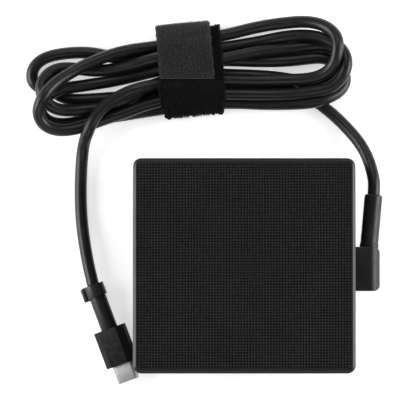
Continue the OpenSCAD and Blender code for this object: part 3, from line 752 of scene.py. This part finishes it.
# For each of the record's material slots: darkest and lightest colour, least and greatest roughness,
# sizes of the colour's blotches and of the grain and height of the grain, all in millimetres, and where
# it needs them the colour of rubbed edges (wear) or of tracks, how much longer the blotches are one way
# (stretch), and the width of bands and threads
LOOKS = {
    "shell_black": dict(dark=grey(0.017), light=grey(0.021), rough=(0.5, 0.6), blotch=14, grain=0.16,
                        high=0.006, wear=grey(0.03), specular=0.03),
    "rear_black": dict(dark=grey(0.0075), light=grey(0.0125), rough=(0.5, 0.66), blotch=9, grain=0.24,
                       high=0.03, wear=grey(0.025)),
    "label_grey": dict(dark=grey(0.045), light=grey(0.06), rough=(0.3, 0.42), blotch=11, grain=0.5,
                       high=0.006),
    "rotor_black": dict(dark=grey(0.006), light=grey(0.01), rough=(0.28, 0.4), blotch=5, grain=0.3,
                        high=0.008, wear=grey(0.03)),
    "blade_nickel": dict(dark=(0.5, 0.48, 0.43), light=(0.72, 0.7, 0.65), rough=(0.2, 0.36), blotch=5,
                         grain=0.12, high=0.006, metal=1, stretch=(1, 12, 1), wear=(0.78, 0.6, 0.32)),
    "steel": dict(dark=(0.42, 0.42, 0.44), light=(0.64, 0.64, 0.66), rough=(0.22, 0.36), blotch=3,
                  grain=0.1, high=0.006, metal=1),
    "spring_brass": dict(dark=(0.55, 0.36, 0.15), light=(0.8, 0.6, 0.32), rough=(0.22, 0.38), blotch=3,
                         grain=0.1, high=0.005, metal=1, stretch=(1, 8, 1)),
    "board_green": dict(dark=(0.006, 0.045, 0.016), light=(0.02, 0.1, 0.04), rough=(0.25, 0.42), blotch=6,
                        grain=0.5, high=0.02, tracks=(0.05, 0.16, 0.06)),
    "chip_black": dict(dark=grey(0.008), light=grey(0.02), rough=(0.5, 0.68), blotch=3, grain=0.1,
                       high=0.012),
    "ferrite": dict(dark=grey(0.022), light=grey(0.05), rough=(0.55, 0.75), blotch=3, grain=0.2,
                    high=0.03, wear=grey(0.1)),
    "bobbin_phenolic": dict(dark=(0.012, 0.01, 0.008), light=(0.03, 0.025, 0.02), rough=(0.4, 0.55),
                            blotch=4, grain=0.25, high=0.012),
    "winding_tape": dict(dark=(0.5, 0.3, 0.02), light=(0.75, 0.5, 0.06), rough=(0.18, 0.32), blotch=4,
                         grain=0.6, high=0.03, bands=(1.1, "Z")),
    "copper": dict(dark=(0.45, 0.16, 0.05), light=(0.75, 0.33, 0.13), rough=(0.22, 0.36), blotch=2,
                   grain=0.2, high=0.02, metal=1, bands=(0.55, "Z")),
    "can_sleeve": dict(dark=(0.01, 0.014, 0.04), light=(0.02, 0.03, 0.075), rough=(0.2, 0.34), blotch=6,
                       grain=0.8, high=0.015),
    "can_aluminium": dict(dark=grey(0.45), light=grey(0.66), rough=(0.22, 0.38), blotch=3, grain=0.15,
                          high=0.008, metal=1),
    "film_yellow": dict(dark=(0.5, 0.38, 0.06), light=(0.7, 0.56, 0.14), rough=(0.2, 0.34), blotch=5,
                        grain=0.5, high=0.02),
    "disc_blue": dict(dark=(0.02, 0.09, 0.28), light=(0.05, 0.17, 0.42), rough=(0.18, 0.3), blotch=3,
                      grain=0.7, high=0.05),
    "fuse_ceramic": dict(dark=(0.6, 0.57, 0.5), light=(0.8, 0.78, 0.72), rough=(0.25, 0.4), blotch=3,
                         grain=0.3, high=0.01),
    "sink_aluminium": dict(dark=grey(0.42), light=grey(0.62), rough=(0.3, 0.45), blotch=8, grain=0.15,
                           high=0.01, metal=1, stretch=(14, 1, 1)),
    "pad_grey": dict(dark=(0.24, 0.28, 0.33), light=(0.34, 0.38, 0.44), rough=(0.6, 0.8), blotch=4,
                     grain=0.25, high=0.03),
    "insulation_film": dict(dark=(0.6, 0.55, 0.38), light=(0.76, 0.71, 0.54), rough=(0.45, 0.6), blotch=5,
                            grain=0.3, high=0.015, stretch=(1, 5, 1)),
    "wire_red": dict(dark=(0.38, 0.012, 0.01), light=(0.55, 0.03, 0.02), rough=(0.28, 0.4), blotch=3,
                     grain=0.3, high=0.01),
    "gland_rubber": dict(dark=grey(0.009), light=grey(0.013), rough=(0.34, 0.46), blotch=6, grain=0.2,
                         high=0.01, wear=grey(0.03), specular=0.4),
    "cord_black": dict(dark=grey(0.0065), light=grey(0.0105), rough=(0.3, 0.4), blotch=7, grain=0.22,
                       high=0.006, specular=0.4),
    "strap_hook": dict(dark=grey(0.005), light=grey(0.017), rough=(0.7, 0.9), blotch=3, grain=0.2,
                       high=0.05, weave=0.62, sheen=0.25, specular=0.3),
    "clip_grey": dict(dark=grey(0.012), light=grey(0.017), rough=(0.32, 0.44), blotch=4, grain=0.15,
                      high=0.008, wear=grey(0.05)),
    "plug_black": dict(dark=grey(0.004), light=grey(0.006), rough=(0.44, 0.54), blotch=8, grain=0.14,
                       high=0.006, wear=grey(0.02), specular=0.16),
    "shell_nickel": dict(dark=grey(0.38), light=grey(0.44), rough=(0.42, 0.52), blotch=3, grain=0.1,
                         high=0.004, metal=1, stretch=(6, 1, 1)),
    "contact_gold": dict(dark=(0.7, 0.46, 0.14), light=(0.88, 0.66, 0.28), rough=(0.16, 0.28), blotch=1,
                         grain=0.08, high=0.003, metal=1),
    # Looks of the detailed pieces, next to the record's slots
    # Inside the pits: a near-black colour with no specular, which is painted shade for the shade that
    # falls in the pits of the same black plastic
    "pit_painted_shade": dict(dark=grey(0.0005), light=grey(0.001), rough=(0.8, 0.95), blotch=14, grain=0.1,
                      high=0.005, specular=0.0),
    "shell_bevel": dict(dark=grey(0.005), light=grey(0.008), rough=(0.34, 0.4), blotch=25, grain=0.2,
                        high=0.002, wear=grey(0.02), specular=0.5),
    "hook_nylon": dict(dark=grey(0.03), light=grey(0.09), rough=(0.25, 0.4), blotch=1.2, grain=0.2,
                       high=0.01),
    "strap_felt": dict(dark=grey(0.0042), light=grey(0.0095), rough=(0.85, 1.0), blotch=0.9, grain=0.22,
                       high=0.09, specular=0.1),
    "loop_nylon": dict(dark=grey(0.006), light=grey(0.02), rough=(0.6, 0.8), blotch=1.2, grain=0.2,
                       high=0.01, specular=0.15),
}
# The part of a noise's range that is spread from none to all
NOISE_SPAN = (0.35, 0.65)
# Spans from and to a value, and what they are spread to, for specks of the lighter colour, the lines
# between bands and between threads, the tracks on a board, and rubbed edges
SPECKS = (0.3, 0.75, 0.0, 0.5)
BAND_LINES = (0.0, 0.35, 0.6, 0.0)
THREAD_LINES = (0.0, 0.5, 0.7, 0.0)
TRACK_LINES = (0.36, 0.4, 1.0, 0.0)
RUBBED = (0.52, 0.6, 0.0, 0.55)
# Size of the cells that the tracks run round, in millimetres, and how strongly the tracks show
TRACK_CELL = 2.6
TRACK_SHARE = 0.8
# Size of the patches of wear, in millimetres, and the part of their noise from unworn to worn
WEAR_PATCH = 1.4
WEAR_SPAN = (0.42, 0.62)
# Heights of bands and of a weave's grain, next to the other part of the relief
BAND_HEIGHT = 3.0
WEAVE_GRAIN = 0.6
BUMP = 0.8
MATERIALS = {}


class Graph:
    """A material's node graph, with the few pieces that every look here is made of."""

    def __init__(self, name):
        self.material = bpy.data.materials.new(name)
        self.material.use_nodes = True
        self.tree = self.material.node_tree
        self.shader = self.tree.nodes["Principled BSDF"]
        self.place = self.tree.nodes.new("ShaderNodeTexCoord").outputs["Object"]

    def node(self, kind, links=(), **settings):
        node = self.tree.nodes.new(kind)
        for key, value in settings.items():
            setattr(node, key, value)
        for socket, value in dict(links).items():
            if isinstance(value, bpy.types.NodeSocket):
                self.tree.links.new(value, node.inputs[socket])
            else:
                node.inputs[socket].default_value = value
        return node

    def stretched(self, factors):
        links = {"Vector": self.place, "Scale": factors}
        return self.node("ShaderNodeMapping", links).outputs["Vector"]

    def noise(self, size_mm, place=None, detail=3.0):
        links = {"Vector": place or self.place, "Scale": 1 / (size_mm * MM), "Detail": detail}
        return self.node("ShaderNodeTexNoise", links).outputs["Fac"]

    def spread(self, value, low, high, to_low=0.0, to_high=1.0):
        links = {"Value": value, "From Min": low, "From Max": high, "To Min": to_low, "To Max": to_high}
        return self.node("ShaderNodeMapRange", links).outputs["Result"]

    def maths(self, operation, one, two):
        return self.node("ShaderNodeMath", {0: one, 1: two}, operation=operation).outputs["Value"]

    def blend(self, amount, one, two):
        node = self.tree.nodes.new("ShaderNodeMix")
        node.data_type = "RGBA"
        for socket, value in ((0, amount), (6, one), (7, two)):
            if isinstance(value, bpy.types.NodeSocket):
                self.tree.links.new(value, node.inputs[socket])
            else:
                node.inputs[socket].default_value = value
        return node.outputs[2]

    def bands(self, size_mm, direction, place=None):
        links = {"Vector": place or self.place, "Scale": math.pi / 5 / (size_mm * MM)}
        node = self.node("ShaderNodeTexWave", {**links, "Distortion": 0.4, "Detail": 1.0})
        node.bands_direction = direction
        return node.outputs["Fac"]

    def to_shader(self, socket, value):
        if isinstance(value, bpy.types.NodeSocket):
            self.tree.links.new(value, self.shader.inputs[socket])
        else:
            self.shader.inputs[socket].default_value = value


def rgba(colour):
    return (*colour, 1.0)


def make_material(name):
    look = LOOKS[name]
    graph = Graph(name)
    place = graph.stretched(look["stretch"]) if "stretch" in look else graph.place
    blotches = graph.spread(graph.noise(look["blotch"], place), *NOISE_SPAN)
    grain = graph.noise(look["grain"], place, 2.0)
    colour = graph.blend(blotches, rgba(look["dark"]), rgba(look["light"]))
    speck = graph.spread(grain, *SPECKS)
    colour = graph.blend(speck, colour, rgba(look["light"]))
    height = grain
    if "bands" in look:
        size, direction = look["bands"]
        rows = graph.bands(size, direction)
        colour = graph.blend(graph.spread(rows, *BAND_LINES), colour, rgba(look["dark"]))
        height = graph.maths("ADD", graph.maths("MULTIPLY", rows, BAND_HEIGHT), grain)
    if "weave" in look:
        turned = graph.node("ShaderNodeMapping", {"Vector": graph.place, "Rotation": (0, 0, -STRAP_TURN)})
        warp = graph.bands(look["weave"], "X", turned.outputs["Vector"])
        weft = graph.bands(look["weave"], "Y", turned.outputs["Vector"])
        cloth = graph.maths("MULTIPLY", warp, weft)
        colour = graph.blend(graph.spread(cloth, *THREAD_LINES), colour, rgba(look["dark"]))
        height = graph.maths("ADD", cloth, graph.maths("MULTIPLY", grain, WEAVE_GRAIN))
    if "tracks" in look:
        links = {"Vector": graph.place, "Scale": 1 / (TRACK_CELL * MM)}
        cells = graph.node("ShaderNodeTexVoronoi", links, distance="CHEBYCHEV", feature="F1")
        track = graph.spread(cells.outputs["Distance"], *TRACK_LINES)
        colour = graph.blend(graph.maths("MULTIPLY", track, TRACK_SHARE), colour, rgba(look["tracks"]))
    if "wear" in look:
        edges = graph.node("ShaderNodeNewGeometry").outputs["Pointiness"]
        rubbed = graph.spread(edges, *RUBBED)
        patchy = graph.spread(graph.noise(WEAR_PATCH), *WEAR_SPAN)
        colour = graph.blend(graph.maths("MULTIPLY", rubbed, patchy), colour, rgba(look["wear"]))
    graph.to_shader("Base Color", colour)
    patches = graph.noise(look["blotch"] * 0.4, place)
    graph.to_shader("Roughness", graph.spread(patches, *NOISE_SPAN, *look["rough"]))
    graph.to_shader("Metallic", float(look.get("metal", 0)))
    graph.to_shader("Specular IOR Level", look.get("specular", 0.5))
    if "sheen" in look:
        graph.to_shader("Sheen Weight", look["sheen"])
        graph.to_shader("Sheen Roughness", 0.4)
    links = {"Height": height, "Strength": BUMP, "Distance": look["high"] * MM}
    bump = graph.node("ShaderNodeBump", links)
    graph.to_shader("Normal", bump.outputs["Normal"])
    return graph.material


def material(name):
    if name not in MATERIALS:
        MATERIALS[name] = make_material(name)
    return MATERIALS[name]


def paint(obj, *names):
    """Gives a piece its materials, the first of which is its slot in the record where it is one."""
    if len(obj.data.materials):
        obj.data.materials.clear()
    for name in names:
        obj.data.materials.append(material(name))


def paint_cad_nodes():
    for row in RECORD["subparts"]:
        obj = NODES[row["node"]]
        obj.data.materials.clear()
        obj.data.materials.append(material(row["material_slot"]))


# ---------------------------------------------------------------- stage
FLOOR_WIDTH = 6.0
# The floor lies just below the table's level, clear of the faces that rest on it
FLOOR_DROP = 0.05 * MM
FLOOR_WHITE = (0.92, 0.92, 0.92, 1)
FLOOR_ROUGH = 0.75
FLOOR_GLOW = 0.55
LAMPS = [
    # name, place, size, watts
    ("lamp_left", (-0.85, 0.05, 0.36), 0.7, 8.5),
    ("lamp_right", (0.85, 0.05, 0.36), 0.7, 8.5),
    ("lamp_back", (0.0, 0.8, 0.85), 0.6, 2.0),
    ("lamp_front", (0.0, -0.8, 0.85), 0.6, 1.8),
]
# Light from the studio's walls and from its ceiling, and the heights where one turns into the other
WALL_LIGHT = 0.22
CEILING_LIGHT = 0.06
WALL_TOP = 0.3
CEILING_FROM = 0.85
LAMP_AIM = Vector((0, 0.02, 0))


def make_stage():
    half = FLOOR_WIDTH / 2
    floor = mesh_object("floor", [(-half, -half, 0), (half, -half, 0), (half, half, 0), (-half, half, 0)],
                        [(0, 1, 2, 3)])
    floor.location.z = -FLOOR_DROP
    graph = Graph("floor_white")
    graph.to_shader("Base Color", FLOOR_WHITE)
    graph.to_shader("Roughness", FLOOR_ROUGH)
    graph.to_shader("Emission Color", (1, 1, 1, 1))
    graph.to_shader("Emission Strength", FLOOR_GLOW)
    floor.data.materials.append(graph.material)
    for name, place, size, watts in LAMPS:
        data = bpy.data.lights.new(name, "AREA")
        data.size = size
        data.energy = watts
        lamp = link(name, data)
        lamp.location = place
        lamp.rotation_euler = (LAMP_AIM - Vector(place)).to_track_quat("-Z", "Y").to_euler()
    world = bpy.data.worlds.new("studio")
    world.use_nodes = True
    tree = world.node_tree
    sky = tree.nodes["Background"]
    place = tree.nodes.new("ShaderNodeTexCoord")
    split = tree.nodes.new("ShaderNodeSeparateXYZ")
    height = tree.nodes.new("ShaderNodeMapRange")
    height.inputs["From Min"].default_value = WALL_TOP
    height.inputs["From Max"].default_value = CEILING_FROM
    height.inputs["To Min"].default_value = WALL_LIGHT
    height.inputs["To Max"].default_value = CEILING_LIGHT
    tree.links.new(place.outputs["Generated"], split.inputs["Vector"])
    tree.links.new(split.outputs["Z"], height.inputs["Value"])
    tree.links.new(height.outputs["Result"], sky.inputs["Strength"])
    sky.inputs["Color"].default_value = (1, 1, 1, 1)
    bpy.context.scene.world = world
    bpy.context.scene.view_settings.view_transform = "Standard"


# ---------------------------------------------------------------- the object
ROUNDED = {
    # node: radius of its rounded edges in millimetres
    "cord_gland": 0.35, "cord_strain_relief": 0.25, "cable_clip": 0.3, "plug_strain_relief": 0.2,
    "plug_body": 0.45, "usb_shell": 0.08, "usb_insert": 0.08, "prong_rotor": 0.2,
    "blade_left": 0.2, "blade_right": 0.2,
}

make_camera()
cord_path = cord_line()
cord = make_cord(cord_path)
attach(cord, "brick")
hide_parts("output_cord", "cord_hank", "plug_cord")
paint(cord, "cord_black")

paint_cad_nodes()
slots = {row["node"]: row["material_slot"] for row in RECORD["subparts"]}
rounded = {}
for node, radius in ROUNDED.items():
    rounded[node] = rounded_copy(node, radius * MM)
    paint(rounded[node], slots[node])
trim_collar(rounded["cord_strain_relief"])

cover = make_front_cover()
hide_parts("front_cover")
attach(cover, "brick")
# The second material paints shade into the pits; the third is for the bevel and sides
paint(cover, "shell_black", "pit_painted_shade", "shell_bevel")

tape_path = strap_path(cord_path)
strap = make_strap(tape_path)
hooks = make_strap_hooks(tape_path)
loops = make_strap_fuzz(tape_path)
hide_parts("hook_loop_strap")
paint(hooks, "hook_nylon")
paint(loops, "loop_nylon")
for piece in (strap, hooks, loops):
    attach(piece, "brick")

on_cord = [rounded[node] for node in ROUNDED if node in RECORD["physics"]["cord_nodes"]]
on_cord += [strap, hooks, loops]
on_cord += [NODES[node] for node in ("usb_contacts", "plug_board", "cable_crimp")]

make_stage()
